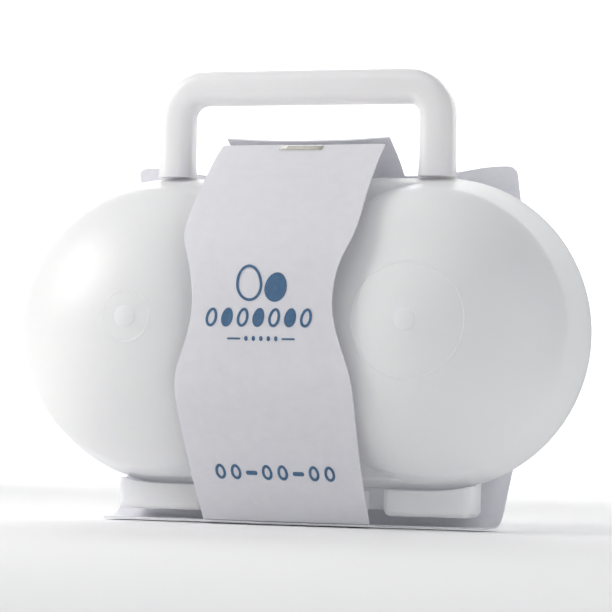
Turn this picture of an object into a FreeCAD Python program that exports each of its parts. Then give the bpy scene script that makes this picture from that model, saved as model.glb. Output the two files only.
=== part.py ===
import FreeCAD, Part
import math
import os
import re
import Sketcher
from FreeCAD import Placement, Rotation, Vector

# Two-egg carry case: two domed half shells hinged along the bottom, a loop handle on top
# and a paper sleeve round the middle.  X is the width, Y the depth (front is -Y), Z is up.
# The origin is on the surface the case stands on, midway between the egg pockets.

doc = FreeCAD.newDocument("EggCase")

# name, value in mm (or degrees), what it is
DRIVING = [
    ("wallThick", 1.5, "plastic wall"),
    ("pocketPitch", 64.0, "distance between the two egg pockets"),
    ("rimRadius", 34.6, "pocket rim at the parting plane"),
    ("capRadius", 37.9, "sphere of the domed cap"),
    ("sideDepth", 11.4, "parting plane to the edge where the side wall meets the cap"),
    ("shellDepth", 28.2, "parting plane to the top of a dome"),
    ("webDepth", 5.5, "depth of the flat web that joins the two pockets"),
    ("centreHeight", 43.5, "pocket centre above the table"),
    ("partingGap", 0.3, "the lid stops this far short of the parting plane"),
    ("footBase", 2.8, "underside of the feet above the table"),
    ("footWidth", 20.0, "one foot"),
    ("footPitch", 62.6, "distance between the feet"),
    ("footDepth", 5.5, "each foot reaches this far either side of the parting plane"),
    ("rodSize", 7.8, "handle section, flat to flat"),
    ("rodCorner", 2.9, "handle section corner radius"),
    ("handleSpan", 61.6, "distance between the legs of the handle"),
    ("handleTop", 102.6, "top of the handle"),
    ("handleBend", 6.8, "bend radius at the middle of the rod"),
    ("handleLift", 0.5, "legs stop this far above the shells"),
    ("spigotSize", 3.4, "square spigot under each leg"),
    ("spigotLength", 3.6, "how far the spigot plugs into the rear shell"),
    ("hingeForward", 5.2, "hinge line in front of the parting plane"),
    ("hingeHeight", 6.1, "hinge line above the table"),
    ("barrelRadius", 2.0, "hinge barrel"),
    ("pinRadius", 1.0, "hinge pin"),
    ("pinGap", 0.05, "running clearance round the pin"),
    ("hingeLength", 34.0, "length of the whole hinge"),
    ("knuckleGap", 0.3, "gap between neighbouring knuckles"),
    ("latchForward", 3.6, "latch pivot in front of the parting plane"),
    ("latchHeight", 80.3, "latch pivot above the table"),
    ("latchBoss", 1.4, "latch boss radius"),
    ("latchPin", 0.8, "moulded trunnion radius"),
    ("latchWidth", 16.0, "latch tab"),
    ("latchTop", 82.4, "top of the latch tab"),
    ("catchHeight", 80.4, "top of the catch on the rear shell"),
    ("paperThick", 0.4, "sleeve card"),
    ("bandWidth", 38.6, "sleeve where it passes over the top"),
    ("cardWidth", 91.0, "wide back card"),
    ("foldForward", 8.5, "front fold of the sleeve's bottom panel"),
    ("ridgeHeight", 85.6, "top edge of the front band"),
    ("tapeWidth", 10.0, "clear tape over the seam"),
]

sheet = doc.addObject("Spreadsheet::Sheet", "Dimensions")
for row, (alias, value, note) in enumerate(DRIVING, start=1):
    sheet.set(f"A{row}", alias)
    sheet.set(f"B{row}", str(value))
    sheet.set(f"C{row}", note)
    sheet.setAlias(f"B{row}", alias)
doc.recompute()


def dim(alias):
    return float(sheet.get(alias))


ALIASES = re.compile(r"\b(" + "|".join(alias for alias, _, _ in DRIVING) + r")\b")


def from_sheet(expression):
    """Puts the sheet's name in front of every alias in an expression."""
    return ALIASES.sub(r"Dimensions.\1", expression)


def bind(obj, **expressions):
    """Ties properties to sheet cells.  Base_x stands for Placement.Base.x, and so on."""
    for name, expression in expressions.items():
        obj.setExpression(name.replace("Base_", "Placement.Base."), from_sheet(expression))
    return obj


ALONG_X = Rotation(Vector(0, 1, 0), 90)   # turns a primitive's own Z onto +X
ALONG_Y = Rotation(Vector(1, 0, 0), -90)  # turns a primitive's own Z onto +Y


def block(name, width, depth, height, x, y, z):
    """A box centred on x, from y and z upwards."""
    obj = doc.addObject("Part::Box", name)
    return bind(obj, Length=width, Width=depth, Height=height,
                Base_x=f"{x} - ({width}) / 2", Base_y=y, Base_z=z)


def rod_x(name, radius, length, x, y, z):
    """A cylinder along X that starts at x."""
    obj = doc.addObject("Part::Cylinder", name)
    obj.Placement.Rotation = ALONG_X
    return bind(obj, Radius=radius, Height=length, Base_x=x, Base_y=y, Base_z=z)


def fuse(name, pieces):
    obj = doc.addObject("Part::MultiFuse", name)
    obj.Shapes = pieces
    obj.Refine = True
    return obj


def cut(name, base, tool):
    obj = doc.addObject("Part::Cut", name)
    obj.Base = base
    obj.Tool = tool
    obj.Refine = True
    return obj


# ---- the domed half shell, built with its depth along +Y ----

CAP_LIFT = "(capRadius - shellDepth + sideDepth)"  # cap's own centre to its edge


def edge_radius(inset):
    return f"sqrt((capRadius - {inset}) ^ 2 - {CAP_LIFT} ^ 2)"


def dome(name, side, inset):
    """Side wall and domed cap of one pocket, made smaller all round by the inset."""
    wall = doc.addObject("Part::Cone", name + "_wall")
    wall.Placement.Rotation = ALONG_Y
    bind(wall, Radius1=f"rimRadius - {inset}", Radius2=edge_radius(inset), Height="sideDepth",
         Base_x=f"{side} * pocketPitch / 2", Base_z="centreHeight")
    cap = doc.addObject("Part::Sphere", name + "_cap")
    cap.Placement.Rotation = ALONG_Y
    bind(cap, Radius=f"capRadius - {inset}", Angle1=f"asin({CAP_LIFT} / (capRadius - {inset}))",
         Angle2="90", Base_x=f"{side} * pocketPitch / 2", Base_y="shellDepth - capRadius",
         Base_z="centreHeight")
    return [wall, cap]


def web(name, inset):
    """The flat web between the pockets, its top and bottom drafted like the side walls."""
    draft = f"(rimRadius - {edge_radius(0)}) / sideDepth"
    depth = f"(webDepth - {inset})"
    obj = doc.addObject("Part::Wedge", name)
    half = "pocketPitch / 2"
    low = f"rimRadius - {inset}"
    high = f"{low} - {draft} * {depth}"
    return bind(obj, Xmin=f"- {half}", Xmax=half, X2min=f"- {half}", X2max=half,
                Ymin="0", Ymax=depth,
                Zmin=f"- ({low})", Zmax=low, Z2min=f"- ({high})", Z2max=high,
                Base_z="centreHeight")


def half_shell(name):
    """Outer form and the hollow in it, as two separate objects."""
    outer = fuse(name + "_outer",
                 dome(name + "_left", -1, "0") + dome(name + "_right", 1, "0")
                 + [web(name + "_web", "0")])
    hollow = fuse(name + "_hollow",
                  dome(name + "_leftPocket", -1, "wallThick")
                  + dome(name + "_rightPocket", 1, "wallThick")
                  + [web(name + "_webPocket", "wallThick")])
    return outer, hollow


# ---- hinge: knuckles along the bottom, three on the rear shell and two on the lid ----

KNUCKLES = 5
KNUCKLE_LENGTH = f"(hingeLength - {KNUCKLES - 1} * knuckleGap ) / {KNUCKLES}"


def knuckle_start(index):
    return f"(- hingeLength / 2 + {index} * ({KNUCKLE_LENGTH} + knuckleGap ))"


def knuckle(name, index):
    return rod_x(f"{name}_barrel{index}", "barrelRadius", KNUCKLE_LENGTH,
                 knuckle_start(index), "- hingeForward", "hingeHeight")


def knuckle_block(name, index, y, depth, z, height):
    """The stem that ties one knuckle to its shell."""
    obj = block(f"{name}_stem{index}", KNUCKLE_LENGTH, depth, height, "0", y, z)
    return bind(obj, Base_x=knuckle_start(index))


def pin_bore(name):
    return rod_x(name, "pinRadius + pinGap", "hingeLength + 2", "- hingeLength / 2 - 1",
                 "- hingeForward", "hingeHeight")


# ---- rear shell: the part that stands on the feet and holds the handle ----

rear_outer, rear_hollow = half_shell("rear")

feet = []
for side in (-1, 1):
    foot = block(f"foot{side + 1}", "footWidth", "2 * footDepth",
                 "centreHeight - rimRadius - footBase + wallThick",
                 f"{side} * footPitch / 2", "- footDepth", "footBase")
    feet.append(foot)
feet_blocks = fuse("feet", feet)

# the front half of each foot stops short of the lid's rim, which swings past it
lid_room = doc.addObject("Part::Cylinder", "lidRoom")
lid_room.Placement.Rotation = ALONG_Y
bind(lid_room, Radius="rimRadius + partingGap", Height="footDepth + 1",
     Base_x="- pocketPitch / 2", Base_y="- footDepth - 1", Base_z="centreHeight")
lid_room_right = doc.addObject("Part::Cylinder", "lidRoomRight")
lid_room_right.Placement.Rotation = ALONG_Y
bind(lid_room_right, Radius="rimRadius + partingGap", Height="footDepth + 1",
     Base_x="pocketPitch / 2", Base_y="- footDepth - 1", Base_z="centreHeight")
web_room = block("webRoom", "pocketPitch", "footDepth + 1", "rimRadius", "0",
                 "- footDepth - 1", "centreHeight - rimRadius - partingGap")
feet_trimmed = cut("feetTrimmed", feet_blocks,
                   fuse("lidRooms", [lid_room, lid_room_right, web_room]))

# a rail between the feet carries the rear knuckles
UNDER_LID = "centreHeight - rimRadius - partingGap"
rail = block("hingeRail", "footPitch - footWidth + 1", "footDepth + 1",
             f"{UNDER_LID} - hingeHeight + barrelRadius", "0", "- 1",
             "hingeHeight - barrelRadius")
rear_knuckles = []
for index in (0, 2, 4):
    rear_knuckles.append(knuckle("rear", index))
    rear_knuckles.append(knuckle_block("rear", index, "- hingeForward",
                                       "hingeForward - 0.5",
                                       "hingeHeight - barrelRadius", "2 * barrelRadius"))
# room for the lid's knuckles to turn beside the rail
lid_knuckle_room = []
for index in (1, 3):
    room = rod_x(f"knuckleRoom{index}", "barrelRadius + partingGap",
                 f"{KNUCKLE_LENGTH} + 2 * knuckleGap", f"{knuckle_start(index)} - knuckleGap",
                 "- hingeForward", "hingeHeight")
    lid_knuckle_room.append(room)

# handle sockets: bosses under the top wall, each with a square hole through the wall
TOP_EDGE = "centreHeight + rimRadius"
bosses = []
holes = []
for side in (-1, 1):
    at = f"{side} * handleSpan / 2"
    bosses.append(block(f"socketBoss{side + 1}", "spigotSize + 3", "spigotSize + 0.8",
                        "spigotLength - 0.2", at, "0.2",
                        f"{TOP_EDGE} - spigotLength - 0.5"))
    holes.append(block(f"socketHole{side + 1}", "spigotSize", "spigotSize - 0.9",
                       "spigotLength + 2", at, "0.9", f"{TOP_EDGE} - spigotLength"))

# catch: an upright rib at the top centre with a bead along its back
catch = block("catchRib", "latchWidth", "1.6", f"catchHeight - ({TOP_EDGE}) + 0.8", "0",
              "1.2", f"{TOP_EDGE} - 0.8")
bead = rod_x("catchBead", "0.5", "latchWidth", "- latchWidth / 2", "2.8",
             "catchHeight - 0.6")

rear_body = cut("rearHollowed", fuse("rearSolid", [rear_outer, feet_trimmed, rail, catch,
                                                   bead]), rear_hollow)
rear_with_bosses = fuse("rearBossed", [rear_body] + bosses + rear_knuckles)
rear_shell = cut("rearShell", rear_with_bosses,
                 fuse("rearCuts", holes + lid_knuckle_room + [pin_bore("rearPinBore")]))
rear_shell.Label = "rear_shell"

# ---- front shell: the lid, turned half a turn so that its depth runs to -Y ----

front_outer, front_hollow = half_shell("front")
front_cup = cut("frontCup", front_outer, front_hollow)
front_cup.Placement.Rotation = Rotation(Vector(0, 0, 1), 180)
gap_slab = block("partingRelief", "3 * pocketPitch", "10", "3 * rimRadius", "0",
                 "- partingGap", "0")
lid_knuckles = []
for index in (1, 3):
    lid_knuckles.append(knuckle("lid", index))
    lid_knuckles.append(knuckle_block("lid", index, "- hingeForward - barrelRadius",
                                      "2 * barrelRadius", "hingeHeight",
                                      "centreHeight - rimRadius + wallThick - hingeHeight"))
# ears that carry the latch, one at each side of the tab
EAR_WIDTH = "2"
ears = []
ear_bores = []
for side in (-1, 1):
    at = f"{side} * ( latchWidth / 2 + 0.3 + {EAR_WIDTH} / 2)"
    ears.append(block(f"latchEar{side + 1}", EAR_WIDTH, "2 * latchBoss",
                      f"latchHeight - ({TOP_EDGE}) + 0.9", at,
                      "- latchForward - latchBoss", f"{TOP_EDGE} - 0.9"))
    ears.append(rod_x(f"latchEarTop{side + 1}", "latchBoss", EAR_WIDTH,
                      f"{at} - {EAR_WIDTH} / 2", "- latchForward", "latchHeight"))
    ear_bores.append(rod_x(f"latchBore{side + 1}", "latchPin + pinGap", "4", f"{at} - 2",
                           "- latchForward", "latchHeight"))
lid_cup = cut("lidRelieved", front_cup, gap_slab)
lid_outer = fuse("lidSolid", [lid_cup] + lid_knuckles + ears)
front_shell = cut("frontShell", lid_outer,
                  fuse("lidCuts", ear_bores + [pin_bore("lidPinBore")]))
front_shell.Label = "front_shell"

# ---- hinge pin ----

hinge_pin = rod_x("hingePin", "pinRadius", "hingeLength", "- hingeLength / 2",
                  "- hingeForward", "hingeHeight")
hinge_pin.Label = "hinge_pin"

# ---- latch tab: turns on its own trunnions and reaches over the catch ----

tab_boss = rod_x("latchTabBoss", "latchBoss", "latchWidth", "- latchWidth / 2",
                 "- latchForward", "latchHeight")
trunnions = rod_x("latchTrunnions", "latchPin", f"latchWidth + 0.6 + 2 * {EAR_WIDTH}",
                  f"- latchWidth / 2 - 0.3 - {EAR_WIDTH}", "- latchForward", "latchHeight")
riser = block("latchRiser", "latchWidth", "1.6", "latchTop - latchHeight", "0",
              "- latchForward - 0.9", "latchHeight")
tab_top = block("latchTop", "latchWidth", "latchForward + 0.9 + 4.6", "1.2", "0",
                "- latchForward - 0.9", "latchTop - 1.2")
lip = block("latchLip", "latchWidth", "1.2", "latchTop - catchHeight - 0.3", "0", "3.4",
            "catchHeight + 0.3")
latch_tab = fuse("latchTab", [tab_boss, trunnions, riser, tab_top, lip])
latch_tab.Label = "latch_tab"

# ---- handle: one bent rod of rounded square section, with a plug under each leg ----


def origin_plane(body, role):
    return next(feature for feature in body.Origin.OriginFeatures if feature.Role == role)


def name_size(sketch, constraint, name, expression):
    """Adds a dimension to a sketch and ties it to the sheet."""
    index = sketch.addConstraint(constraint)
    sketch.renameConstraint(index, name)
    sketch.setExpression(f"Constraints.{name}", from_sheet(expression))


handle = doc.addObject("PartDesign::Body", "carryHandle")
spine = handle.newObject("Sketcher::SketchObject", "handleSpine")
spine.AttachmentSupport = (origin_plane(handle, "XZ_Plane"), [""])
spine.MapMode = "FlatFace"
leg_x = dim("handleSpan") / 2
leg_low = dim("centreHeight") + dim("rimRadius") + dim("handleLift")
bar_z = dim("handleTop") - dim("rodSize") / 2
bend = dim("handleBend")
corner = {side: Vector(side * (leg_x - bend), bar_z - bend, 0) for side in (-1, 1)}
spine.addGeometry([
    Part.LineSegment(Vector(-leg_x, leg_low, 0), Vector(-leg_x, bar_z - bend, 0)),
    Part.ArcOfCircle(Part.Circle(corner[-1], Vector(0, 0, 1), bend), math.pi / 2, math.pi),
    Part.LineSegment(Vector(bend - leg_x, bar_z, 0), Vector(leg_x - bend, bar_z, 0)),
    Part.ArcOfCircle(Part.Circle(corner[1], Vector(0, 0, 1), bend), 0, math.pi / 2),
    Part.LineSegment(Vector(leg_x, bar_z - bend, 0), Vector(leg_x, leg_low, 0)),
], False)
spine.addConstraint([
    Sketcher.Constraint("Tangent", 0, 2, 1, 2),
    Sketcher.Constraint("Tangent", 1, 1, 2, 1),
    Sketcher.Constraint("Tangent", 2, 2, 3, 2),
    Sketcher.Constraint("Tangent", 3, 1, 4, 1),
    Sketcher.Constraint("Vertical", 0),
    Sketcher.Constraint("Horizontal", 2),
    Sketcher.Constraint("Vertical", 4),
    Sketcher.Constraint("Equal", 1, 3),
    Sketcher.Constraint("Symmetric", 0, 1, 4, 2, -2),
])
name_size(spine, Sketcher.Constraint("Radius", 1, bend), "bend", "handleBend")
name_size(spine, Sketcher.Constraint("DistanceX", 0, 1, 4, 2, 2 * leg_x), "span", "handleSpan")
name_size(spine, Sketcher.Constraint("DistanceY", -1, 1, 0, 1, leg_low), "legLow",
          f"{TOP_EDGE} + handleLift")
name_size(spine, Sketcher.Constraint("DistanceY", -1, 1, 2, 1, bar_z), "barHeight",
          "handleTop - rodSize / 2")

section = handle.newObject("Sketcher::SketchObject", "handleSection")
section.AttachmentSupport = (origin_plane(handle, "XY_Plane"), [""])
section.MapMode = "FlatFace"
section.setExpression("AttachmentOffset.Base.x", from_sheet("- handleSpan / 2"))
section.setExpression("AttachmentOffset.Base.z", from_sheet(f"{TOP_EDGE} + handleLift"))
flat = dim("rodSize") / 2
round_ = dim("rodCorner")
inner = flat - round_
quarter = math.pi / 2
for turn in range(4):
    heading = turn * quarter
    along = Vector(math.cos(heading), math.sin(heading), 0)
    across = Vector(-math.sin(heading), math.cos(heading), 0)
    section.addGeometry(Part.LineSegment(along * flat - across * inner,
                                         along * flat + across * inner), False)
    section.addGeometry(Part.ArcOfCircle(
        Part.Circle(along * inner + across * inner, Vector(0, 0, 1), round_),
        heading, heading + quarter), False)
for turn in range(4):
    line, arc, after = 2 * turn, 2 * turn + 1, (2 * turn + 2) % 8
    section.addConstraint(Sketcher.Constraint("Tangent", line, 2, arc, 1))
    section.addConstraint(Sketcher.Constraint("Tangent", arc, 2, after, 1))
section.addConstraint([
    Sketcher.Constraint("Vertical", 0),
    Sketcher.Constraint("Horizontal", 2),
    Sketcher.Constraint("Vertical", 4),
    Sketcher.Constraint("Equal", 1, 3),
    Sketcher.Constraint("Equal", 1, 5),
    Sketcher.Constraint("Equal", 0, 2),
    Sketcher.Constraint("Symmetric", 0, 1, 4, 1, -1, 1),
])
name_size(section, Sketcher.Constraint("Radius", 1, round_), "corner", "rodCorner")
name_size(section, Sketcher.Constraint("DistanceX", 4, 1, 0, 2, 2 * flat), "across", "rodSize")

pipe = handle.newObject("PartDesign::AdditivePipe", "handleRod")
pipe.Profile = section
pipe.Spine = (spine, ["Edge1", "Edge2", "Edge3", "Edge4", "Edge5"])
handle.Tip = pipe

plugs = []
for side in (-1, 1):
    plugs.append(block(f"handlePlug{side + 1}", "spigotSize - 0.2", "spigotSize - 1.1",
                       "spigotLength + handleLift", f"{side} * handleSpan / 2", "1.0",
                       f"{TOP_EDGE} - spigotLength + 0.1"))
carry_handle = fuse("handleWithPlugs", [handle] + plugs)
carry_handle.Label = "carry_handle"

# ---- paper sleeve ----
# The card is one sheet; here it is a front band that swings down at the bottom fold, and a
# bottom panel with the wide back card.  Both follow a curved section, so they are sheets
# made with Part's own functions, their sizes read from the sheet.

paper = dim("paperThick")
fold_y = -dim("foldForward")
fold_z = 1.0  # the front fold turns about this height
ridge_z = dim("ridgeHeight")
middle_z = dim("centreHeight")
belly_y = dim("shellDepth") + 1.0
half_band = dim("bandWidth") / 2


def spline(points, *ends):
    curve = Part.BSplineCurve()
    if ends:
        curve.interpolate(Points=points, InitialTangent=ends[0], FinalTangent=ends[1])
    else:
        curve.interpolate(points)
    return curve


def section_curve(points):
    """A smooth curve in the YZ plane through (y, z) points."""
    return spline([Vector(0, y, z) for y, z in points])


def card(curve, half_width, thickness):
    """A sheet along a YZ curve; positive thickness goes to the left of its direction."""
    steps = 24
    span = curve.LastParameter - curve.FirstParameter
    outside = []
    inside = []
    for index in range(steps + 1):
        at = curve.FirstParameter + span * index / steps
        point = curve.value(at)
        tangent = curve.tangent(at)[0]
        outside.append(point)
        inside.append(point + Vector(0, -tangent.z, tangent.y) * thickness)
    wire = Part.Wire([spline(outside).toShape(),
                      Part.LineSegment(outside[-1], inside[-1]).toShape(),
                      spline(inside).toShape(),
                      Part.LineSegment(inside[0], outside[0]).toShape()])
    face = Part.Face(wire)
    face.translate(Vector(-half_width, 0, 0))
    return face.extrude(Vector(2 * half_width, 0, 0))


def outline_prism(side_points):
    """Closed XZ outline, mirrored about X = 0, extruded through the whole depth."""
    front_y = -2 * belly_y
    right = spline([Vector(x, front_y, z) for x, z in side_points])
    left = spline([Vector(-x, front_y, z) for x, z in reversed(side_points)])
    top = Part.LineSegment(right.EndPoint, left.StartPoint)
    bottom = Part.LineSegment(left.EndPoint, right.StartPoint)
    wire = Part.Wire([right.toShape(), top.toShape(), left.toShape(), bottom.toShape()])
    return Part.Face(wire).extrude(Vector(0, 4 * belly_y, 0))


# front band: cut in beside the pockets
notch = 3.4
band_outline = [
    (half_band + 0.2, -1), (half_band + 0.6, middle_z - 29), (half_band + 0.9, middle_z - 14),
    (half_band + 0.7, middle_z - 10.5), (half_band - notch + 0.8, middle_z - 0.5),
    (half_band - notch, middle_z + 5.5), (half_band - notch + 0.7, middle_z + 11.5),
    (half_band, middle_z + 20.5), (half_band + 0.2, middle_z + 28), (half_band, middle_z + 50),
]
band_curve = section_curve([
    (fold_y, fold_z), (-15.0, middle_z - 34.1), (-20.6, middle_z - 26.0),
    (-26.0, middle_z - 15.7), (-28.2, middle_z - 6), (-belly_y, middle_z + 5.5),
    (-27.6, middle_z + 16.5), (-21.0, middle_z + 26.0), (-12.0, middle_z + 34.6),
    (-2.0, ridge_z),
])
band_sheet = card(band_curve, half_band + 5, -paper)
# the card is rounded where it folds up from the bottom panel
fold_round = Part.makeCylinder(paper, 2 * half_band + 10, Vector(-half_band - 5, fold_y, fold_z),
                               Vector(1, 0, 0))
band_solid = band_sheet.fuse(fold_round).common(outline_prism(band_outline))

# clear tape over the top seam, stuck on the outside of the band
tape_thick = 0.2
tape_drop = 1.6
half_tape = dim("tapeWidth") / 2
tape_strip = card(band_curve, half_tape, tape_thick)
tape_solid = tape_strip.common(Part.makeBox(2 * half_tape, 20, 2 * tape_drop,
                                            Vector(-half_tape, -20, ridge_z - tape_drop)))

# bottom panel: lies flat under the feet, then the card rises round the back
half_card = dim("cardWidth") / 2
flat_end = 4.0
flat_panel = Part.makeBox(2 * half_card, flat_end - fold_y, paper, Vector(-half_card, fold_y, 0))
back_curve = spline([Vector(0, y, z) for y, z in [
    (flat_end, 0.0), (12.8, middle_z - 33.2), (19.4, middle_z - 26.6), (25.0, middle_z - 19.0),
    (belly_y, middle_z - 2), (25.6, middle_z + 18.6), (13.8, middle_z + 35.8),
    (-0.4, ridge_z + 1.4),
]], Vector(0, 12, 0.5), Vector(0, -8, 2.6))
card_solid = flat_panel.fuse(card(back_curve, half_card, paper))
shoulder_z = middle_z + 36.4
front_edge = 5.2  # the wide part of the bottom ends just in front of the feet
above_shoulder = Part.makeBox(half_card, 80, 20, Vector(half_band, -40, shoulder_z))
before_feet = Part.makeBox(half_card, 40, 4, Vector(half_band, -40 - front_edge, -2))
for trim in (above_shoulder, before_feet):
    card_solid = card_solid.cut(trim).cut(trim.mirror(Vector(0, 0, 0), Vector(1, 0, 0)))
card_solid = card_solid.removeSplitter()


def feature(name, shape):
    obj = doc.addObject("Part::Feature", name)
    obj.Label = name
    obj.Shape = shape
    obj.Placement = Placement()
    return obj


sleeve_band = feature("sleeve_front_band", band_solid)
sleeve_card = feature("sleeve_back_card", card_solid)
seam_tape = feature("seam_tape", tape_solid)

doc.recompute()

# ---- checks and output ----

SUBPARTS = [front_shell, rear_shell, hinge_pin, latch_tab, carry_handle, sleeve_band, sleeve_card,
            seam_tape]

for obj in doc.Objects:
    if "Invalid" in obj.State or "Error" in obj.State:
        raise RuntimeError(f"{obj.Name} failed: {obj.State}")
for obj in SUBPARTS:
    if obj.Shape.isNull() or not obj.Shape.isValid():
        raise RuntimeError(f"{obj.Label} has no valid shape")

os.makedirs("parts", exist_ok=True)
for obj in SUBPARTS:
    box = obj.Shape.BoundBox
    print(f"{obj.Label}: {len(obj.Shape.Solids)} solid, {obj.Shape.Volume:.1f} mm3, "
          f"X {box.XMin:.1f}..{box.XMax:.1f} Y {box.YMin:.1f}..{box.YMax:.1f} "
          f"Z {box.ZMin:.1f}..{box.ZMax:.1f}")
    obj.Shape.exportStep(os.path.join("parts", obj.Label + ".step"))
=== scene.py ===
import bpy
import math
from mathutils import Matrix, Vector


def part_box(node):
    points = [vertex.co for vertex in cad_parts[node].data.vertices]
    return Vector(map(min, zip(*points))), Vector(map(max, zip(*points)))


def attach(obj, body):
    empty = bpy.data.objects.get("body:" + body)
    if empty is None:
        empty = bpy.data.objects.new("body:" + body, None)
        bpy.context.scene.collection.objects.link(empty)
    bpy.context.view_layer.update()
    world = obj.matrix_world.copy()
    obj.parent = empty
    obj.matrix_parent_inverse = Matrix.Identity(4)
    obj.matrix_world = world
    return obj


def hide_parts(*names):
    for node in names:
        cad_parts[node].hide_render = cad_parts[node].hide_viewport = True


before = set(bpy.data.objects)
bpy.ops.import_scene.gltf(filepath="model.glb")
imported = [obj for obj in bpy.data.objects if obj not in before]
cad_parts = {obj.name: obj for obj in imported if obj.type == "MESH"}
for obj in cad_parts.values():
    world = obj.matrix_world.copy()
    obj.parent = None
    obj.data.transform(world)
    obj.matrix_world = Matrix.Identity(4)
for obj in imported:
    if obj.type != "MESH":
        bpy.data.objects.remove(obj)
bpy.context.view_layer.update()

# sizes in metres, X along the case, -Y to the front, Z up
rearLow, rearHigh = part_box("rear_shell")
handleLow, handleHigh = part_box("carry_handle")
pinLow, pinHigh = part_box("hinge_pin")

case = {
    "halfPitch": 0.032,       # middle of the case to a pocket's axis
    "centre": 0.0435,         # pocket axis above the table
    "depth": rearHigh.y,      # parting plane to the top of a dome
    "sideDepth": 0.0114,      # how deep the side wall runs before the crease
    "capRadius": 0.0379,
    "crease": 0.0013,         # rounding where side wall and cap meet
    "wall": 0.0015,
    "webDepth": 0.0055,
    "gap": 0.0003,            # the lid stops this far in front of the parting plane
    "turns": 128,
    "past": 0.0004,           # hollowing pieces start this far past the parting plane
}
case["rim"] = rearHigh.x - case["halfPitch"]
case["top"] = case["centre"] + case["rim"]


# small helpers

def clearSelection():
    if bpy.context.object and bpy.context.object.mode != "OBJECT":
        bpy.ops.object.mode_set(mode="OBJECT")
    bpy.ops.object.select_all(action="DESELECT")


def pick(obj):
    clearSelection()
    obj.select_set(True)
    bpy.context.view_layer.objects.active = obj


def startEdit(name):
    obj = bpy.context.object
    obj.name = name
    obj.data.name = name
    bpy.ops.object.mode_set(mode="EDIT")
    bpy.ops.mesh.select_mode(type="VERT")
    return obj


def pickVerts(obj, test):
    # object origins stay where the primitive was put, so the test reads world places
    bpy.ops.mesh.select_all(action="DESELECT")
    bpy.ops.object.mode_set(mode="OBJECT")
    for v in obj.data.vertices:
        v.select = bool(test(obj.matrix_world @ v.co))
    bpy.ops.object.mode_set(mode="EDIT")


def pickEdges(obj, test):
    # test gets the two ends of each edge
    bpy.ops.mesh.select_mode(type="EDGE")
    bpy.ops.mesh.select_all(action="DESELECT")
    bpy.ops.object.mode_set(mode="OBJECT")
    for e in obj.data.edges:
        a, b = (obj.matrix_world @ obj.data.vertices[i].co for i in e.vertices)
        e.select = bool(test(a, b))
    bpy.ops.object.mode_set(mode="EDIT")


def extrude(step):
    bpy.ops.mesh.extrude_region_move(TRANSFORM_OT_translate={"value": tuple(step)})


def endEdit(obj, outward=True):
    bpy.ops.mesh.select_all(action="SELECT")
    if outward:
        bpy.ops.mesh.normals_make_consistent(inside=False)
    bpy.ops.object.mode_set(mode="OBJECT")
    pick(obj)
    bpy.ops.object.transform_apply(location=True, rotation=True, scale=True)


def applyModifier(obj, kind, name, **settings):
    modifier = obj.modifiers.new(name, kind)
    for key, value in settings.items():
        setattr(modifier, key, value)
    pick(obj)
    bpy.ops.object.modifier_apply(modifier=modifier.name)


def combine(base, tool, operation):
    # union or difference with an exact boolean, then the tool is gone
    modifier = base.modifiers.new("combine", "BOOLEAN")
    modifier.operation = operation
    modifier.solver = "EXACT"
    modifier.object = tool
    pick(base)
    bpy.ops.object.modifier_apply(modifier=modifier.name)
    bpy.data.objects.remove(tool)
    return base


def joinAll(pieces, name):
    clearSelection()
    for piece in pieces:
        piece.select_set(True)
    bpy.context.view_layer.objects.active = pieces[0]
    bpy.ops.object.join()
    pieces[0].name = name
    return pieces[0]


def copyAlong(obj, step):
    # the same piece again with a mesh of its own, further along X
    pick(obj)
    bpy.ops.object.duplicate()
    bpy.ops.transform.translate(value=(step, 0, 0))
    bpy.ops.object.transform_apply(location=True, rotation=False, scale=False)
    return bpy.context.object


def smooth(obj, degrees=32):
    pick(obj)
    bpy.ops.object.shade_smooth_by_angle(angle=math.radians(degrees))


def roundedBlock(name, low, high, radius, segments=4, edges=None):
    size = [high[i] - low[i] for i in range(3)]
    middle = [(high[i] + low[i]) / 2 for i in range(3)]
    clearSelection()
    bpy.ops.mesh.primitive_cube_add(size=1, location=middle)
    bpy.context.object.scale = size
    bpy.ops.object.transform_apply(location=False, rotation=False, scale=True)
    obj = startEdit(name)
    if edges is None:
        bpy.ops.mesh.select_all(action="SELECT")
    else:
        pickEdges(obj, edges)
    bpy.ops.mesh.bevel(offset=radius, segments=segments, affect="EDGES")
    endEdit(obj)
    return obj


def rodAlongX(name, x0, x1, y, z, radius, bevel=0.0002, turns=40):
    clearSelection()
    bpy.ops.mesh.primitive_cylinder_add(vertices=turns, radius=radius, depth=x1 - x0,
                                        location=((x0 + x1) / 2, y, z),
                                        rotation=(0, math.pi / 2, 0))
    obj = startEdit(name)
    if bevel:
        pickEdges(obj, lambda a, b: abs(a.x - b.x) < 1e-6)
        bpy.ops.mesh.bevel(offset=bevel, segments=2, affect="EDGES")
    endEdit(obj)
    return obj


# camera, floor and light

shot = {
    "azimuth": 18.0,          # degrees round from the front, towards +X
    "elevation": -2.5,
    "roll": 1.36,
    "distance": 0.6706,
    "lens": 175.1,            # mm on a 36 mm sensor
    "aim": Vector((0.0008, 0, 0.0493)),
}


def makeCamera():
    azimuth = math.radians(shot["azimuth"])
    elevation = math.radians(shot["elevation"])
    back = Vector((math.sin(azimuth) * math.cos(elevation),
                   -math.cos(azimuth) * math.cos(elevation), math.sin(elevation)))
    camera = bpy.data.objects.new("camera", bpy.data.cameras.new("camera"))
    bpy.context.scene.collection.objects.link(camera)
    camera.data.lens = shot["lens"]
    camera.data.sensor_width = 36
    camera.data.clip_start = 0.05
    camera.location = shot["aim"] + back * shot["distance"]
    turn = (-back).to_track_quat("-Z", "Y").to_matrix()
    roll = Matrix.Rotation(math.radians(shot["roll"]), 3, "Z")
    camera.rotation_euler = (turn @ roll).to_euler()
    bpy.context.scene.camera = camera


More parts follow.
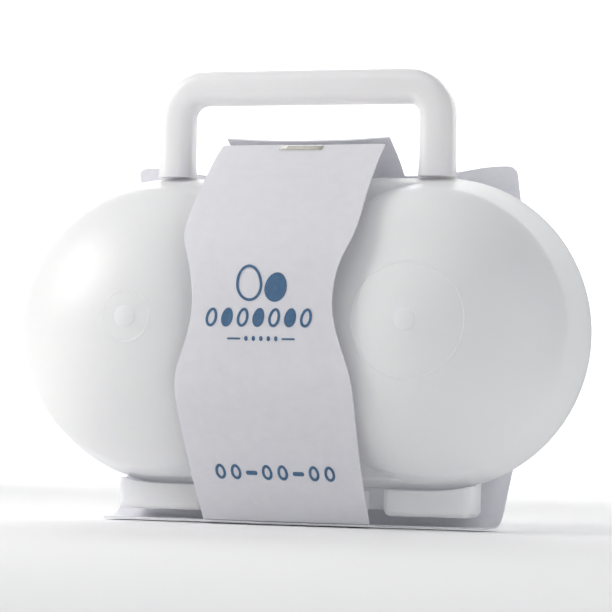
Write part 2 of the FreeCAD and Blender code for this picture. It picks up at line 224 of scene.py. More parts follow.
studio = {
    "floorHalf": 5.0,
    "wallHeight": 2.2,
    "wallAway": 1.3,          # how far behind the case the floor turns up
    "bend": 0.6,
    "world": (0.86, 0.88, 0.92),
    "worldStrength": 0.16,
}


# place, what it points at, size, watts, colour
lights = {
    "keyLight": ((-0.72, -0.48, 0.72), (0, 0, 0.05), (0.4, 0.4), 0.82, (1, 0.99, 0.98)),
    "nearLight": ((-0.32, -0.14, 0.22), (-0.03, 0, 0.045), (0.2, 0.2), 0.8, (1, 0.99, 0.98)),
    "topLight": ((0, 0.1, 1.1), (0, 0, 0.05), (1.0, 0.8), 2.2, (1, 1, 1)),
    "backLight": ((-0.6, 0.8, 0.5), (0, 0, 0.05), (0.5, 0.5), 1.3, (1, 1, 1)),
    "sideFill": ((0.9, -0.5, 0.35), (0, 0, 0.05), (0.7, 0.7), 2.0, (0.96, 0.98, 1)),
    "tableLight": ((0, -0.55, 0.6), (0, -0.25, 0), (0.5, 0.3), 0.7, (1, 1, 1)),
    "wallLight": ((0, 0.7, 1.0), (0, 1.6, 0.6), (2.0, 0.3), 24, (1, 1, 1)),
}


def areaLight(name, place, aim, size, power, colour):
    light = bpy.data.lights.new(name, "AREA")
    light.shape = "RECTANGLE"
    light.size, light.size_y = size
    light.energy = power
    light.color = colour
    obj = bpy.data.objects.new(name, light)
    bpy.context.scene.collection.objects.link(obj)
    obj.location = place
    obj.rotation_euler = (Vector(aim) - Vector(place)).to_track_quat("-Z", "Y").to_euler()


def makeStudio():
    clearSelection()
    bpy.ops.mesh.primitive_plane_add(size=2 * studio["floorHalf"], location=(0, 0, 0))
    floor = startEdit("floor")
    pickVerts(floor, lambda p: p.y > 0)
    bpy.ops.transform.translate(value=(0, studio["wallAway"] - studio["floorHalf"], 0))
    extrude((0, 0, studio["wallHeight"]))
    pickEdges(floor, lambda a, b: min(a.y, b.y) > 0 and max(a.z, b.z) < 0.01)
    bpy.ops.mesh.bevel(offset=studio["bend"], segments=24, affect="EDGES")
    endEdit(floor, outward=False)
    smooth(floor, 60)
    material = bpy.data.materials.new("studioFloor")
    material.use_nodes = True
    shader = material.node_tree.nodes["Principled BSDF"]
    shader.inputs["Base Color"].default_value = (0.93, 0.93, 0.93, 1)
    shader.inputs["Roughness"].default_value = 0.8
    shader.inputs["Specular IOR Level"].default_value = 0.1
    floor.data.materials.append(material)

    world = bpy.data.worlds.new("studioAir")
    world.use_nodes = True
    air = world.node_tree.nodes["Background"]
    air.inputs["Color"].default_value = (*studio["world"], 1)
    air.inputs["Strength"].default_value = studio["worldStrength"]
    bpy.context.scene.world = world

    for name, (place, aim, size, power, colour) in lights.items():
        areaLight(name, place, aim, size, power, colour)
    bpy.context.scene.view_settings.view_transform = "Standard"


makeCamera()
makeStudio()
print("stage: camera, floor and light")


# the two half shells

marks = {
    "lift": 0.0020,           # the gate marks sit a little above the pocket axis
    "discRadius": 0.0023,
    "discHeight": 0.00016,
    "ringRadius": {"left": 0.0056, "right": 0.0126},
    "ringThick": 0.00018,
}


def capDepth(radius, inset=0.0):
    # depth of the domed cap at a distance from the pocket axis
    sphere = case["capRadius"] - inset
    return case["depth"] - case["capRadius"] + math.sqrt(sphere ** 2 - radius ** 2)


def edgeRadius(inset=0.0):
    lift = case["capRadius"] - case["depth"] + case["sideDepth"]
    return math.sqrt((case["capRadius"] - inset) ** 2 - lift ** 2)


def domeProfile(inset, start):
    # (radius, depth) from the rim, up the side wall, round the crease and over the cap
    rim = case["rim"] - inset
    edge = edgeRadius(inset)
    slope = (rim - edge) / case["sideDepth"]
    points = [(rim - slope * start, start)]
    crease = case["crease"]
    for step in range(1, 4):
        depth = start + (case["sideDepth"] - crease - start) * step / 3
        points.append((rim - slope * depth, depth))
    inside = edge - crease
    first = Vector(points[-1])
    corner = Vector((edge, case["sideDepth"]))
    last = Vector((inside, capDepth(inside, inset)))
    for step in range(1, 6):  # a smooth turn through the corner
        t = step / 6
        points.append(tuple(first.lerp(corner, t).lerp(corner.lerp(last, t), t)))
    rings = 14
    for step in range(rings):
        radius = inside * math.sin(math.pi / 2 * (1 - step / rings))
        points.append((radius, capDepth(radius, inset)))
    return points


def spunDome(name, facing, inset, start):
    # the left one: a ring drawn up step by step along the profile, then closed at both ends
    profile = domeProfile(inset, start)
    centre = (-case["halfPitch"], 0, case["centre"])
    clearSelection()
    bpy.ops.mesh.primitive_circle_add(
        vertices=case["turns"], radius=profile[0][0], fill_type="NGON",
        location=(centre[0], facing * profile[0][1], centre[2]), rotation=(math.pi / 2, 0, 0))
    dome = startEdit(name)
    bpy.ops.mesh.select_all(action="SELECT")
    for (oldRadius, oldDepth), (radius, depth) in zip(profile, profile[1:]):
        extrude((0, facing * (depth - oldDepth), 0))
        ratio = radius / oldRadius
        bpy.ops.transform.resize(value=(ratio, 1, ratio), center_override=centre)
    bpy.ops.mesh.poke()
    tip = facing * (case["depth"] - inset)
    pickVerts(dome, lambda p: abs(p.x - centre[0]) < 1e-5 and abs(p.z - centre[2]) < 1e-5
              and p.y * facing > case["sideDepth"])
    poked = dome.matrix_world @ next(v.co for v in dome.data.vertices if v.select)
    bpy.ops.transform.translate(value=(0, tip - poked.y, 0))
    endEdit(dome)
    return dome


def webBlock(name, facing, inset, start):
    # the flat bridge between the pockets, drafted like the side walls
    rim = case["rim"] - inset
    slope = (case["rim"] - edgeRadius()) / case["sideDepth"]
    depth = case["webDepth"] - inset
    width = 2 * case["halfPitch"]
    clearSelection()
    bpy.ops.mesh.primitive_cube_add(size=1, location=(0, facing * (start + depth) / 2,
                                                      case["centre"]))
    bpy.context.object.scale = (width, depth - start, 2 * (rim - slope * start))
    bpy.ops.object.transform_apply(location=False, rotation=False, scale=True)
    web = startEdit(name)
    pickVerts(web, lambda p: p.y * facing > (start + depth) / 2)
    shrink = (rim - slope * depth) / (rim - slope * start)
    bpy.ops.transform.resize(value=(1, 1, shrink), center_override=(0, 0, case["centre"]))
    if inset == 0:
        pickEdges(web, lambda a, b: min(a.y * facing, b.y * facing) > depth - 1e-5
                  and abs(a.z - b.z) < 1e-5)
        bpy.ops.mesh.bevel(offset=0.0009, segments=4, affect="EDGES")
    endEdit(web)
    return web


def gateMark(name, side, facing):
    # a shallow round witness with a faint ring, square to the cap a little above its middle
    tilt = math.asin(marks["lift"] / case["capRadius"])
    at = Vector((side * case["halfPitch"],
                 facing * (case["depth"] - case["capRadius"] * (1 - math.cos(tilt))),
                 case["centre"] + marks["lift"]))
    lean = facing * (math.pi / 2 - tilt)
    clearSelection()
    bpy.ops.mesh.primitive_cylinder_add(vertices=40, radius=marks["discRadius"], depth=0.0012,
                                        location=at, rotation=(-lean, 0, 0))
    disc = startEdit(name + "Disc")
    push = Vector((0, facing * math.cos(tilt), math.sin(tilt)))
    bpy.ops.mesh.select_all(action="SELECT")
    bpy.ops.transform.translate(value=push * (marks["discHeight"] - 0.0006))
    endEdit(disc)
    applyModifier(disc, "BEVEL", "softEdge", width=0.00012, segments=2, limit_method="ANGLE")
    ring = marks["ringRadius"]["left" if side < 0 else "right"]
    sink = case["capRadius"] - math.sqrt(case["capRadius"] ** 2 - ring ** 2)
    clearSelection()
    bpy.ops.mesh.primitive_torus_add(
        major_radius=ring, minor_radius=marks["ringThick"], major_segments=96, minor_segments=8,
        location=at - push * (sink + 0.00006), rotation=(-lean, 0, 0))
    hoop = startEdit(name + "Ring")
    endEdit(hoop)
    return joinAll([disc, hoop], name)


def halfShell(name, facing, start):
    shell = spunDome(name, facing, 0, start)
    combine(shell, copyAlong(shell, 2 * case["halfPitch"]), "UNION")
    combine(shell, webBlock(name + "Web", facing, 0, start), "UNION")
    for side in (-1, 1):
        combine(shell, gateMark(f"{name}Mark{side + 1}", side, facing), "UNION")
    return shell


def hollowOut(shell, facing):
    wall = case["wall"]
    pocket = spunDome("pocket", facing, wall, -case["past"])
    for room in (copyAlong(pocket, 2 * case["halfPitch"]), pocket):
        combine(shell, room, "DIFFERENCE")
    combine(shell, webBlock("webPocket", facing, wall, -case["past"]), "DIFFERENCE")


hinge = {
    "y": (pinLow.y + pinHigh.y) / 2,
    "z": (pinLow.z + pinHigh.z) / 2,
    "length": pinHigh.x - pinLow.x,
    "barrel": 0.0020,
    "bore": 0.00105,
    "space": 0.0003,          # gap between two knuckles
    "count": 5,
    "root": 0.0014,           # how far the lid's stems reach into its rim
}
hinge["knuckle"] = (hinge["length"] - (hinge["count"] - 1) * hinge["space"]) / hinge["count"]


def knuckleStart(index):
    return -hinge["length"] / 2 + index * (hinge["knuckle"] + hinge["space"])


def hingeBore():
    reach = hinge["length"] / 2 + 0.001
    return rodAlongX("bore", -reach, reach, hinge["y"], hinge["z"], hinge["bore"], bevel=0)


latch = {
    "y": -0.0036,
    "z": 0.0803,
    "boss": 0.0014,
    "bore": 0.00085,
    "width": 0.016,
    "ear": 0.002,
    "play": 0.0003,
    "root": 0.0009,           # how far the ears reach into the rim
}


def buildLid():
    gap = case["gap"]
    lid = halfShell("lidShell", -1, gap)
    hollowOut(lid, -1)
    under = case["centre"] - case["rim"]
    x0 = knuckleStart(1)
    x1 = x0 + hinge["knuckle"]
    barrel = rodAlongX("lidKnuckle", x0, x1, hinge["y"], hinge["z"], hinge["barrel"])
    stem = roundedBlock("lidStem", (x0, hinge["y"] - hinge["barrel"], hinge["z"]),
                        (x1, hinge["y"] + hinge["barrel"], under + hinge["root"]), 0.0002, 2)
    knuckle = combine(barrel, stem, "UNION")
    inner = latch["width"] / 2 + latch["play"]
    outer = inner + latch["ear"]
    top = rodAlongX("latchEar", -outer, -inner, latch["y"], latch["z"], latch["boss"])
    post = roundedBlock("earPost", (-outer, latch["y"] - latch["boss"], case["top"] - latch["root"]),
                        (-inner, latch["y"] + latch["boss"], latch["z"]), 0.0002, 2)
    ear = combine(top, post, "UNION")
    extras = [knuckle, copyAlong(knuckle, 2 * (hinge["knuckle"] + hinge["space"])),
              ear, copyAlong(ear, inner + outer)]
    combine(lid, joinAll(extras, "lidExtras"), "UNION")
    combine(lid, hingeBore(), "DIFFERENCE")
    reach = outer + 0.0012
    bores = rodAlongX("latchBore", -reach, reach, latch["y"], latch["z"], latch["bore"], bevel=0)
    combine(lid, bores, "DIFFERENCE")
    smooth(lid)
    return lid


feet = {
    "base": rearLow.z,
    "width": 0.020,
    "halfPitch": 0.0313,
    "halfDepth": 0.0055,
    "corner": 0.0016,
    "root": 0.0035,           # how far they reach up into the rim
    "railHalf": 0.0218,       # half length of the rail that carries the knuckles
}
catch = {"low": 0.0012, "high": 0.0028, "top": 0.0804, "beadZ": 0.0798, "bead": 0.0005}
socket = {
    "x": handleHigh.x - (handleHigh.y - handleLow.y) / 2,  # under the middle of a leg
    "hole": 0.0034,
    "depth": 0.0036,
    "wall": 0.0015,
}


def buildRear():
    rear = halfShell("rearShell", 1, 0)
    under = case["centre"] - case["rim"]
    x, half = feet["halfPitch"], feet["width"] / 2
    foot = roundedBlock("foot", (-x - half, -feet["halfDepth"], feet["base"]),
                        (half - x, feet["halfDepth"], under + feet["root"]), feet["corner"], 5,
                        lambda a, b: max(a.z, b.z) < under + 0.002 or abs(a.z - b.z) > 0.003)
    supports = joinAll([foot, copyAlong(foot, 2 * x)], "feet")
    rail = roundedBlock("hingeRail", (-feet["railHalf"], -0.001, hinge["z"] - hinge["barrel"]),
                        (feet["railHalf"], feet["halfDepth"] - 0.0005, under + 0.0008), 0.0003, 2)
    combine(supports, rail, "UNION")
    # the lid's rim and web swing past the front half of the feet
    clearSelection()
    bpy.ops.mesh.primitive_cylinder_add(
        vertices=case["turns"], radius=case["rim"] + case["gap"], depth=0.012,
        location=(-case["halfPitch"], -0.006, case["centre"]), rotation=(math.pi / 2, 0, 0))
    lidRoom = startEdit("lidRoom")
    endEdit(lidRoom)
    for room in (copyAlong(lidRoom, 2 * case["halfPitch"]), lidRoom):
        combine(supports, room, "DIFFERENCE")
    webRoom = roundedBlock("webRoom", (-case["halfPitch"], -0.012, under - case["gap"]),
                           (case["halfPitch"], 0, under + 0.02), 0.00001, 1)
    combine(supports, webRoom, "DIFFERENCE")
    combine(rear, supports, "UNION")
    side = latch["width"] / 2
    rib = roundedBlock("catchRib", (-side, catch["low"], case["top"] - 0.0008),
                       (side, catch["high"], catch["top"]), 0.0003, 3)
    bead = rodAlongX("catchBead", -side, side, catch["high"], catch["beadZ"], catch["bead"])
    combine(rib, bead, "UNION")
    combine(rear, rib, "UNION")
    hollowOut(rear, 1)
    x0 = knuckleStart(0)
    x1 = x0 + hinge["knuckle"]
    barrel = rodAlongX("rearKnuckle", x0, x1, hinge["y"], hinge["z"], hinge["barrel"])
    stem = roundedBlock("rearStem", (x0, hinge["y"], hinge["z"] - hinge["barrel"]),
                        (x1, -0.0006, hinge["z"] + hinge["barrel"]), 0.0002, 2)
    knuckle = combine(barrel, stem, "UNION")
    copies = [copyAlong(knuckle, index * (hinge["knuckle"] + hinge["space"])) for index in (2, 4)]
    combine(rear, joinAll([knuckle] + copies, "rearKnuckles"), "UNION")
    x, half = socket["x"], socket["hole"] / 2
    bottom = case["top"] - socket["depth"]
    around = half + socket["wall"]
    boss = roundedBlock("socketBoss", (-x - around, 0.0002, bottom - 0.0005),
                        (around - x, 0.0044, case["top"] - 0.0007), 0.0003, 2)
    combine(rear, joinAll([boss, copyAlong(boss, 2 * x)], "socketBosses"), "UNION")
    hole = roundedBlock("socketHole", (-x - half, 0.0009, bottom),
                        (half - x, 0.0034, case["top"] + 0.002), 0.0001, 1)
    combine(rear, joinAll([hole, copyAlong(hole, 2 * x)], "socketHoles"), "DIFFERENCE")
    combine(rear, hingeBore(), "DIFFERENCE")
    smooth(rear)
    return rear


lidShell = buildLid()
print("stage: lid shell,", len(lidShell.data.polygons), "faces")
rearShell = buildRear()
print("stage: rear shell,", len(rearShell.data.polygons), "faces")


# the carry handle

handle = {
    "rod": handleHigh.y - handleLow.y,
    "corner": 0.0029,
    "bend": 0.0068,           # at the middle of the rod
    "lift": 0.0002,
    "foot": 1.05,             # the legs widen a little where they meet the case
    "flare": 0.0035,          # height over which they widen
    "flareSteps": 3,
    "bendSteps": 14,
    "barSteps": 6,
}
handle["x"] = handleHigh.x - handle["rod"] / 2
handle["bar"] = handleHigh.z - handle["rod"] / 2


def bendRod(centre):
    # a quarter turn about the middle of a bend, up to across or across to down
    for step in range(handle["bendSteps"]):
        extrude((0, 0, 0))
        bpy.ops.transform.rotate(value=-math.pi / 2 / handle["bendSteps"], orient_axis="Y",
                                 center_override=centre)


def buildHandle():
    # a rounded square drawn up one leg, round two bends and down the other leg
    x, bar, bend = handle["x"], handle["bar"], handle["bend"]
    low = case["top"] + handle["lift"]
    flare = handle["flare"]
    clearSelection()
    bpy.ops.mesh.primitive_plane_add(size=handle["rod"] * handle["foot"], location=(-x, 0, low))
    rod = startEdit("handleRod")
    bpy.ops.mesh.select_all(action="SELECT")
    bpy.ops.mesh.bevel(offset=handle["corner"], segments=7, affect="VERTICES")
    bpy.ops.mesh.select_mode(type="FACE")
    bpy.ops.mesh.select_all(action="SELECT")
    steps = handle["flareSteps"]
    narrow = handle["foot"] ** (-1 / steps)
    for step in range(steps):
        extrude((0, 0, flare / steps))
        bpy.ops.transform.resize(value=(narrow, narrow, 1), center_override=(-x, 0, low))
    extrude((0, 0, bar - bend - low - flare))
    bendRod((bend - x, 0, bar - bend))
    for step in range(handle["barSteps"]):
        extrude(((2 * x - 2 * bend) / handle["barSteps"], 0, 0))
    bendRod((x - bend, 0, bar - bend))
    extrude((0, 0, -(bar - bend - low - flare)))
    for step in range(steps):
        extrude((0, 0, -flare / steps))
        bpy.ops.transform.resize(value=(1 / narrow, 1 / narrow, 1), center_override=(x, 0, low))
    endEdit(rod)
    return rod


def addPlugs(rod):
    # the square spigots under the legs, seen only through the frosted wall
    x, half = handle["x"], socket["hole"] / 2 - 0.0001
    plug = roundedBlock("plug", (-x - half, 0.0010, case["top"] - socket["depth"] + 0.0001),
                        (half - x, 0.0033, case["top"] + 0.002), 0.00015, 2)
    return combine(rod, joinAll([plug, copyAlong(plug, 2 * x)], "plugs"), "UNION")


handleRod = addPlugs(buildHandle())
smooth(handleRod, 40)
print("stage: handle,", len(handleRod.data.polygons), "faces")


# the paper sleeve

sleeve = {
    "paper": 0.0004,
    "ear": 0.0455,
    "neck": 0.0193,
    "cornerRound": 0.0022,
    "wave": 0.0007,           # how far the card bulges and dips
    "waveSize": 0.028,
    # front band from the bottom fold up to the ridge: y, z, half width
    "band": [
        (-0.0085, 0.0010, 0.0194), (-0.0124, 0.0058, 0.0196), (-0.0164, 0.0112, 0.0197),
        (-0.0204, 0.0174, 0.0199), (-0.0242, 0.0242, 0.0202), (-0.0266, 0.0288, 0.0203),
        (-0.0277, 0.0322, 0.0201), (-0.0281, 0.0362, 0.0190), (-0.0285, 0.0406, 0.0173),
        (-0.0288, 0.0450, 0.0162), (-0.0290, 0.0492, 0.0158), (-0.0289, 0.0536, 0.0162),
        (-0.0283, 0.0578, 0.0172), (-0.0273, 0.0612, 0.0186), (-0.0256, 0.0640, 0.0196),
        (-0.0220, 0.0680, 0.0197), (-0.0178, 0.0724, 0.0195), (-0.0136, 0.0765, 0.0193),
        (-0.0086, 0.0809, 0.0193), (-0.0050, 0.0838, 0.0192), (-0.0021, 0.0856, 0.0191),
    ],
    "across": 6,              # columns on each side of the middle
    "shoulder": 0.0798,       # height where the wide part ends
    "frontEdge": -0.0052,     # front edge of the wide bottom panel
    "columns": (0.010, 0.0193, 0.0199, 0.029, 0.038, 0.0455),  # x, on the wide part
    "earRise": Vector((0.0002, -0.0004, 0.0020)),
    "ridgeSag": 0.0006,
    # bottom panel, then up round the back to the ridge: y, z
    "back": [
        (-0.0085, 0.0006), (-0.0052, 0.0006), (0.0002, 0.0006), (0.0042, 0.0007),
        (0.0086, 0.0034), (0.0130, 0.0104), (0.0196, 0.0172), (0.0250, 0.0248),
        (0.0282, 0.0340), (0.0290, 0.0440), (0.0280, 0.0540), (0.0256, 0.0624),
        (0.0214, 0.0704), (0.0172, 0.0760), (0.0137, 0.0798), (0.0131, 0.0803),
        (0.0096, 0.0828), (0.0042, 0.0856), (0.0010, 0.0874),
    ],
}


def foldedCard(name, columns, stations):
    # a row of points drawn out across X, then extruded from station to station
    clearSelection()
    y, z, half = stations[0]
    bpy.ops.mesh.primitive_plane_add(size=0.001, location=(0, y, z))
    card = startEdit(name)
    bpy.ops.mesh.select_all(action="SELECT")
    bpy.ops.mesh.merge(type="CENTER")
    bpy.ops.transform.translate(value=(columns[0] * half, 0, 0))
    for x0, x1 in zip(columns, columns[1:]):
        extrude(((x1 - x0) * half, 0, 0))
    bpy.ops.mesh.select_all(action="SELECT")
    for (y0, z0, half0), (y1, z1, half1) in zip(stations, stations[1:]):
        extrude((0, y1 - y0, z1 - z0))
        bpy.ops.transform.resize(value=(half1 / half0, 1, 1), center_override=(0, y1, z1))
    return card


def finishCard(card, offset, levels=2):
    # smooth it, let it bulge a little like real card, then give it its thickness
    applyModifier(card, "SUBSURF", "smoothCard", levels=levels, render_levels=levels,
                  boundary_smooth="PRESERVE_CORNERS")
    clouds = bpy.data.textures.new(card.name + "Wave", "CLOUDS")
    clouds.noise_scale = sleeve["waveSize"]
    applyModifier(card, "DISPLACE", "bulge", texture=clouds, strength=sleeve["wave"],
                  mid_level=0.5, texture_coords="LOCAL")
    applyModifier(card, "SOLIDIFY", "thickness", thickness=sleeve["paper"], offset=offset)
    smooth(card, 40)


def buildBand():
    columns = [step / sleeve["across"] for step in range(-sleeve["across"], sleeve["across"] + 1)]
    band = foldedCard("sleeveBand", columns, sleeve["band"])
    endEdit(band)
    finishCard(band, -1)
    return band


def buildBackCard():
    ear, neck = sleeve["ear"], sleeve["neck"]
    right = [x / ear for x in sleeve["columns"]]
    columns = [-x for x in reversed(right)] + [0] + right
    card = foldedCard("sleeveBack", columns, [(y, z, ear) for y, z in sleeve["back"]])
    shoulderZ, frontY = sleeve["shoulder"], sleeve["frontEdge"]
    # only the neck runs on past the shoulders and past the front of the feet
    bpy.ops.mesh.select_mode(type="FACE")
    bpy.ops.mesh.select_all(action="DESELECT")
    bpy.ops.object.mode_set(mode="OBJECT")
    for face in card.data.polygons:
        middle = card.matrix_world @ face.center
        beyond = middle.z > shoulderZ or (middle.y < frontY and middle.z < 0.002)
        face.select = beyond and abs(middle.x) > neck
    bpy.ops.object.mode_set(mode="EDIT")
    bpy.ops.mesh.delete(type="FACE")
    bpy.ops.mesh.select_mode(type="VERT")
    # the ears lift at their outer corners, and the ridge sags in the middle
    for side in (-1, 1):
        pickVerts(card, lambda p: abs(p.z - shoulderZ) < 0.0005 and p.x * side > 0.036)
        rise = sleeve["earRise"]
        bpy.ops.transform.translate(value=(side * rise.x, rise.y, rise.z))
    pickVerts(card, lambda p: p.z > 0.0870 and abs(p.x) < 0.015)
    bpy.ops.transform.translate(value=(0, 0, -sleeve["ridgeSag"]))
    pickVerts(card, lambda p: abs(abs(p.x) - ear) < 0.0004
              and (p.z > shoulderZ - 0.0002 or (p.z < 0.002 and p.y < frontY + 0.0002)))
    bpy.ops.mesh.bevel(offset=sleeve["cornerRound"], segments=4, affect="VERTICES")
    endEdit(card)
    finishCard(card, 0)
    return card


band = buildBand()
backCard = buildBackCard()
print("stage: sleeve,", len(band.data.polygons) + len(backCard.data.polygons), "faces")


# tape over the ridge and the printed marks

def layOnBand(obj, lift, thickness):
    applyModifier(obj, "SHRINKWRAP", "lay", target=band, wrap_method="PROJECT",
                  wrap_mode="ABOVE_SURFACE", use_project_y=True, use_project_x=False,
                  use_project_z=False, use_positive_direction=True,
                  use_negative_direction=True, offset=lift)
    applyModifier(obj, "SOLIDIFY", "inkThickness", thickness=thickness, offset=0)


tapeSize = {"half": 0.005, "drop": 0.0011, "thick": 0.00008}


def buildTape():
    ridgeY, ridgeZ, _ = sleeve["band"][-1]
    rows = 5
    stations = [(ridgeY - 0.004, ridgeZ - 0.0004 - tapeSize["drop"] * step / rows,
                 tapeSize["half"]) for step in range(rows + 1)]
    tape = foldedCard("ridgeTape", [-1, -0.5, 0, 0.5, 1], stations)
    endEdit(tape, outward=False)
    layOnBand(tape, 0.00012, tapeSize["thick"])
    pick(tape)
    bpy.ops.object.shade_smooth()
    return tape


printed = {
    "emblem": 0.0525,         # heights of the printed rows above the table
    "word": 0.0452,
    "small": 0.0408,
    "caption": 0.0117,
    "depth": 0.034,           # drawn in front of the band, then laid on it
    "slice": 0.0007,
    "slices": (0.008, 0.060),  # from and to
    "pitch": 0.0036,          # from one egg to the next
}


def oval(x, z, halfX, halfZ, tilt=0.0, ring=0.0):
    # an egg outline: the upper half a little longer than the lower one
    clearSelection()
    middle = (x, -printed["depth"], z)
    bpy.ops.mesh.primitive_circle_add(vertices=36, radius=1, fill_type="NGON", location=middle,
                                      rotation=(math.pi / 2, 0, 0))
    egg = startEdit("egg")
    bpy.ops.mesh.select_all(action="SELECT")
    bpy.ops.transform.resize(value=(halfX, 1, halfZ), center_override=middle)
    pickVerts(egg, lambda p: p.z > z + 1e-6)
    bpy.ops.transform.resize(value=(1, 1, 1.22), center_override=middle)
    bpy.ops.mesh.select_all(action="SELECT")
    if tilt:
        bpy.ops.transform.rotate(value=tilt, orient_axis="Y", center_override=middle)
    if ring:
        bpy.ops.mesh.select_mode(type="FACE")
        bpy.ops.mesh.inset(thickness=ring)
        bpy.ops.mesh.delete(type="FACE")
    endEdit(egg, outward=False)
    return egg


def bar(x, z, width, height):
    clearSelection()
    middle = (x, -printed["depth"], z)
    bpy.ops.mesh.primitive_plane_add(size=1, location=middle, rotation=(math.pi / 2, 0, 0))
    strip = startEdit("bar")
    bpy.ops.mesh.select_all(action="SELECT")
    bpy.ops.transform.resize(value=(width, 1, height), center_override=middle)
    bpy.ops.mesh.bevel(offset=height * 0.4, segments=3, affect="VERTICES")
    endEdit(strip, outward=False)
    return strip


def buildPrint():
    shapes = []
    top, word, small, caption = (printed[k] for k in ("emblem", "word", "small", "caption"))
    # two eggs side by side, one drawn as an outline
    shapes.append(oval(-0.0028, top, 0.0030, 0.0036, 0.10, 0.0006))
    shapes.append(oval(0.0032, top - 0.0008, 0.0025, 0.0029, -0.20))
    # a row of bold eggs under them, every other one filled
    pitch = printed["pitch"]
    start = -3 * pitch - 0.0006
    outline = oval(start, word, 0.0013, 0.0019, -0.25, 0.0006)
    filled = oval(start + pitch, word, 0.0013, 0.0019, -0.25)
    shapes += [outline] + [copyAlong(outline, index * pitch) for index in (2, 4, 6)]
    shapes += [filled] + [copyAlong(filled, index * pitch) for index in (2, 4)]
    rule = bar(-0.0062, small, 0.0030, 0.0004)
    dot = oval(-0.0034, small, 0.0004, 0.0005)
    shapes += [rule, copyAlong(rule, 0.0124), dot]
    shapes += [copyAlong(dot, index * 0.0017) for index in range(1, 5)]
    # the caption line: pairs of eggs with a short bar between
    egg = oval(-3.5 * pitch, caption, 0.0012, 0.0015, 0, 0.0006)
    dash = bar(-1.5 * pitch, caption, 0.0026, 0.0009)
    shapes += [egg] + [copyAlong(egg, index * pitch) for index in (1, 3, 4, 6, 7)]
    shapes += [dash, copyAlong(dash, 3 * pitch)]
    ink = joinAll(shapes, "sleevePrint")
    ink.data.name = "sleevePrint"
    pick(ink)
    bpy.ops.object.mode_set(mode="EDIT")
    z, top = printed["slices"]
    while z < top:  # sliced across, so that it can follow the curve of the card
        bpy.ops.mesh.select_all(action="SELECT")
        bpy.ops.mesh.bisect(plane_co=(0, 0, z), plane_no=(0, 0, 1))
        z += printed["slice"]
    bpy.ops.object.mode_set(mode="OBJECT")
    layOnBand(ink, 0.00006, 0.00004)
    return ink


tape = buildTape()
ink = buildPrint()
print("stage: tape and print,", len(ink.data.polygons), "faces")


# finishes

def newMaterial(name, roughness, specular=0.5):
    material = bpy.data.materials.new(name)
    material.use_nodes = True
    shader = material.node_tree.nodes["Principled BSDF"]
    shader.inputs["Roughness"].default_value = roughness
    shader.inputs["Specular IOR Level"].default_value = specular
    return material, material.node_tree, shader


def noise(tree, scale, detail=2.0, roughness=0.5, squeeze=(1, 1, 1)):
    place = tree.nodes.new("ShaderNodeTexCoord")
    mapping = tree.nodes.new("ShaderNodeMapping")
    mapping.inputs["Scale"].default_value = squeeze
    texture = tree.nodes.new("ShaderNodeTexNoise")
    texture.inputs["Scale"].default_value = scale
    texture.inputs["Detail"].default_value = detail
    texture.inputs["Roughness"].default_value = roughness
    tree.links.new(place.outputs["Object"], mapping.inputs["Vector"])
    tree.links.new(mapping.outputs["Vector"], texture.inputs["Vector"])
    return texture.outputs["Fac"]


def tint(tree, shader, factor, colours):
    ramp = tree.nodes.new("ShaderNodeValToRGB")
    ramp.color_ramp.elements[0].position = 0.3
    ramp.color_ramp.elements[1].position = 0.7
    for element, colour in zip(ramp.color_ramp.elements, colours):
        element.color = (*colour, 1)
    tree.links.new(factor, ramp.inputs["Fac"])
    tree.links.new(ramp.outputs["Color"], shader.inputs["Base Color"])


def spread(tree, shader, factor, low, high):
    # roughness that drifts between two values
    span = tree.nodes.new("ShaderNodeMapRange")
    span.inputs["To Min"].default_value = low
    span.inputs["To Max"].default_value = high
    tree.links.new(factor, span.inputs["Value"])
    tree.links.new(span.outputs["Result"], shader.inputs["Roughness"])


def bump(tree, shader, height, strength, distance):
    node = tree.nodes.new("ShaderNodeBump")
    node.inputs["Strength"].default_value = strength
    node.inputs["Distance"].default_value = distance
    tree.links.new(height, node.inputs["Height"])
    tree.links.new(node.outputs["Normal"], shader.inputs["Normal"])


frosting = {
    "pale": (0.962, 0.960, 0.992),
    "paler": (0.98, 0.978, 1.0),
    "scatter": 0.0020,        # how far light spreads in the wall
    "paintedGlow": 0.04,             # light held in the milky wall
    "clear": 0.10,            # painted glow: a faint emission that lightens the shells evenly, standing in for light
}


def frostedPlastic():
    material, tree, shader = newMaterial("frostedPlastic", 0.4)
    tint(tree, shader, noise(tree, 45, 3), (frosting["pale"], frosting["paler"]))
    spread(tree, shader, noise(tree, 120, 4), 0.34, 0.46)
    bump(tree, shader, noise(tree, 2600, 2), 0.12, 0.00005)
    shader.inputs["IOR"].default_value = 1.46
    shader.inputs["Transmission Weight"].default_value = frosting["clear"]
    shader.inputs["Subsurface Weight"].default_value = 1.0
    shader.inputs["Subsurface Radius"].default_value = (1.0, 1.0, 1.08)
    shader.inputs["Subsurface Scale"].default_value = frosting["scatter"]
    # painted glow: the shells give off a little light of their own, in place of light that reaches
    # them
    shader.inputs["Emission Color"].default_value = (0.93, 0.95, 1.0, 1)
    shader.inputs["Emission Strength"].default_value = frosting["paintedGlow"]
    return material


def handlePlastic():
    material, tree, shader = newMaterial("handlePlastic", 0.34)
    tint(tree, shader, noise(tree, 60, 3), ((0.85, 0.845, 0.855), (0.87, 0.865, 0.87)))
    spread(tree, shader, noise(tree, 160, 4), 0.30, 0.42)
    bump(tree, shader, noise(tree, 2200, 2), 0.10, 0.00005)
    shader.inputs["IOR"].default_value = 1.46
    shader.inputs["Subsurface Weight"].default_value = 1.0
    shader.inputs["Subsurface Radius"].default_value = (1.0, 0.96, 0.92)
    shader.inputs["Subsurface Scale"].default_value = 0.004
    return material


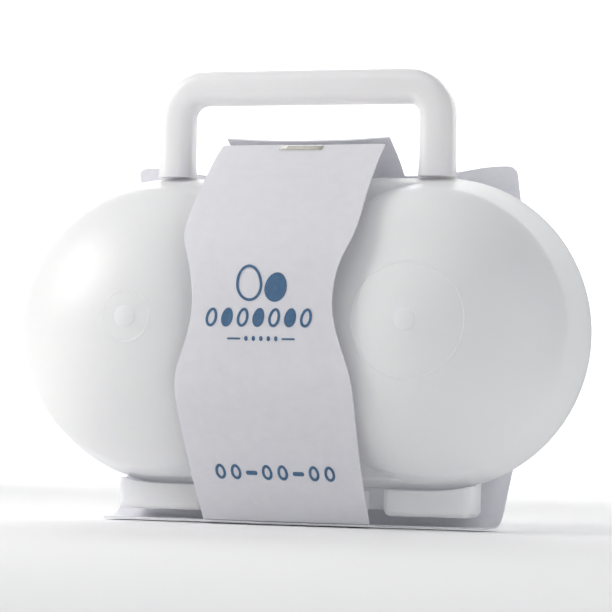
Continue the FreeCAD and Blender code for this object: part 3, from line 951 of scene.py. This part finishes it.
def sleeveCard():
    material, tree, shader = newMaterial("sleeveCard", 0.7, 0.35)
    tint(tree, shader, noise(tree, 380, 5, 0.6), ((0.78, 0.775, 0.82), (0.815, 0.81, 0.85)))
    spread(tree, shader, noise(tree, 200, 3), 0.62, 0.80)
    bump(tree, shader, noise(tree, 1500, 6, 0.7), 0.10, 0.00004)
    shader.inputs["Subsurface Weight"].default_value = 0.5
    shader.inputs["Subsurface Radius"].default_value = (1.0, 0.98, 0.98)
    shader.inputs["Subsurface Scale"].default_value = 0.0009
    return material


def printInk():
    material, tree, shader = newMaterial("printInk", 0.55, 0.4)
    tint(tree, shader, noise(tree, 900, 4), ((0.062, 0.138, 0.255), (0.085, 0.180, 0.315)))
    bump(tree, shader, noise(tree, 1500, 6, 0.7), 0.2, 0.00004)
    return material


def clearTape():
    material, tree, shader = newMaterial("clearTape", 0.18)
    tint(tree, shader, noise(tree, 150, 3), ((0.93, 0.90, 0.78), (0.96, 0.94, 0.85)))
    bump(tree, shader, noise(tree, 500, 2), 0.1, 0.00004)
    shader.inputs["Transmission Weight"].default_value = 0.55
    shader.inputs["IOR"].default_value = 1.48
    return material


def dress(obj, material):
    obj.data.materials.clear()
    obj.data.materials.append(material)


frosted = frostedPlastic()
cardStock = sleeveCard()
dress(lidShell, frosted)
dress(rearShell, frosted)
dress(handleRod, handlePlastic())
dress(band, cardStock)
dress(backCard, cardStock)
dress(ink, printInk())
dress(tape, clearTape())
pinFinish = handlePlastic()
pinFinish.name = "pinPlastic"
for node, material in (("latch_tab", frosted), ("hinge_pin", pinFinish)):
    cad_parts[node].data.materials.clear()
    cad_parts[node].data.materials.append(material)

# what each piece rides on

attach(lidShell, "lid")
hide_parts("front_shell")
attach(rearShell, "case")
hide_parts("rear_shell")
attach(handleRod, "case")
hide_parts("carry_handle")
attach(band, "sleeve_flap")
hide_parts("sleeve_front_band")
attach(backCard, "case")
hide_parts("sleeve_back_card")
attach(tape, "sleeve_flap")
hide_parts("seam_tape")
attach(ink, "sleeve_flap")

print("stage: finished")
